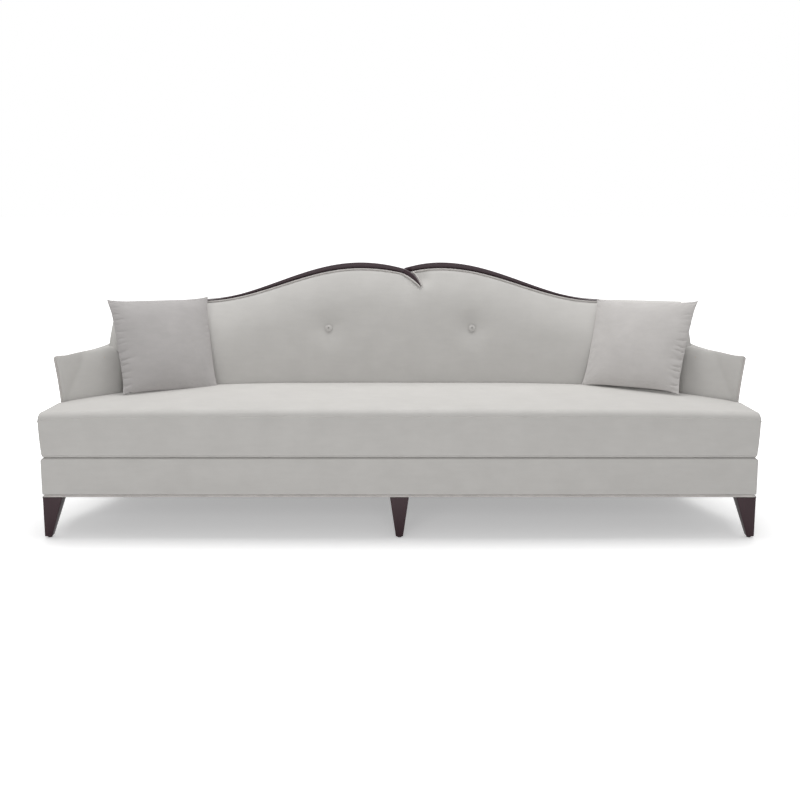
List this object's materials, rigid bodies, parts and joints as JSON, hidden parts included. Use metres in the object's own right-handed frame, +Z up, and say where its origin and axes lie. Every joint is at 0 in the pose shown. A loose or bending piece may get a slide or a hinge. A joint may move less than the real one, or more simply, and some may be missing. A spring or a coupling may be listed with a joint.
{
  "type": "camelback sofa",
  "caption": "Long upholstered sofa with a curved camelback, dark wood crest rails that overlap, thin wrap-in arms, a loose bench cushion, loose pillows and tapered legs.",
  "frame": {"origin": "middle of the footprint of the whole sofa, on the floor", "axes": "+X to the right when one faces the sofa, along its length; +Y from the front to the back; +Z up"},
  "size_m": [2.6888, 0.8258, 0.9619],
  "materials": {
    "velvet": "soft cut velvet, pale grey",
    "seat_velvet": "soft cut velvet, pale grey",
    "pillow_velvet": "soft cut velvet, pale grey",
    "welt": "velvet over cord",
    "dark_wood": "dark stain, satin lacquer",
    "frame_wood": "raw beech",
    "lining": "black woven lining",
    "burlap": "plain jute weave",
    "spring_steel": "bright drawn wire",
    "glide_plastic": "matt black"
  },
  "bodies": {
    "sofa": {"arm_pad_left": "velvet", "arm_pad_right": "velvet", "arm_post_left": "frame_wood", "arm_post_right": "frame_wood", "arm_rail_left": "frame_wood", "arm_rail_right": "frame_wood", "arm_welt_left": "welt", "arm_welt_right": "welt", "back_burlap": "burlap", "back_lower_rail": "frame_wood", "back_pad": "velvet", "back_post_left": "frame_wood", "back_post_right": "frame_wood", "back_stile_left": "frame_wood", "back_stile_right": "frame_wood", "back_top_board": "frame_wood", "base_cover_front": "velvet", "base_cover_left": "velvet", "base_cover_rear": "velvet", "base_cover_right": "velvet", "base_welt": "welt", "corner_block_front_left": "frame_wood", "corner_block_front_right": "frame_wood", "corner_block_rear_left": "frame_wood", "corner_block_rear_right": "frame_wood", "crest_rail_left": "dark_wood", "crest_rail_right": "dark_wood", "crest_welt_left": "welt", "crest_welt_right": "welt", "cross_rail_centre": "frame_wood", "cross_rail_left": "frame_wood", "cross_rail_right": "frame_wood", "dust_cover": "lining", "glide_front_centre": "glide_plastic", "glide_front_left": "glide_plastic", "glide_front_right": "glide_plastic", "glide_rear_centre": "glide_plastic", "glide_rear_left": "glide_plastic", "glide_rear_right": "glide_plastic", "leg_front_centre": "dark_wood", "leg_front_left": "dark_wood", "leg_front_right": "dark_wood", "leg_rear_centre": "dark_wood", "leg_rear_left": "dark_wood", "leg_rear_right": "dark_wood", "outside_arm_left": "velvet", "outside_arm_right": "velvet", "outside_back": "velvet", "seat_deck": "lining", "seat_rail_front": "frame_wood", "seat_rail_left": "frame_wood", "seat_rail_rear": "frame_wood", "seat_rail_right": "frame_wood", "seat_springs": "spring_steel", "tuft_button_left": "velvet", "tuft_button_right": "velvet"},
    "seat_cushion": {"seat_cushion": "seat_velvet"},
    "pillow_left": {"pillow_left": "pillow_velvet"},
    "pillow_right": {"pillow_right": "pillow_velvet"}
  },
  "joints": [
    {"name": "cushion_lift", "type": "slide", "parent": "sofa", "child": "seat_cushion", "axis": [0, 0, 1], "range_m": [0, 0.7]},
    {"name": "pillow_left_lift", "type": "slide", "parent": "seat_cushion", "child": "pillow_left", "axis": [0, 0, 1], "range_m": [0, 0.55]},
    {"name": "pillow_right_lift", "type": "slide", "parent": "seat_cushion", "child": "pillow_right", "axis": [0, 0, 1], "range_m": [0, 0.55]}
  ]
}
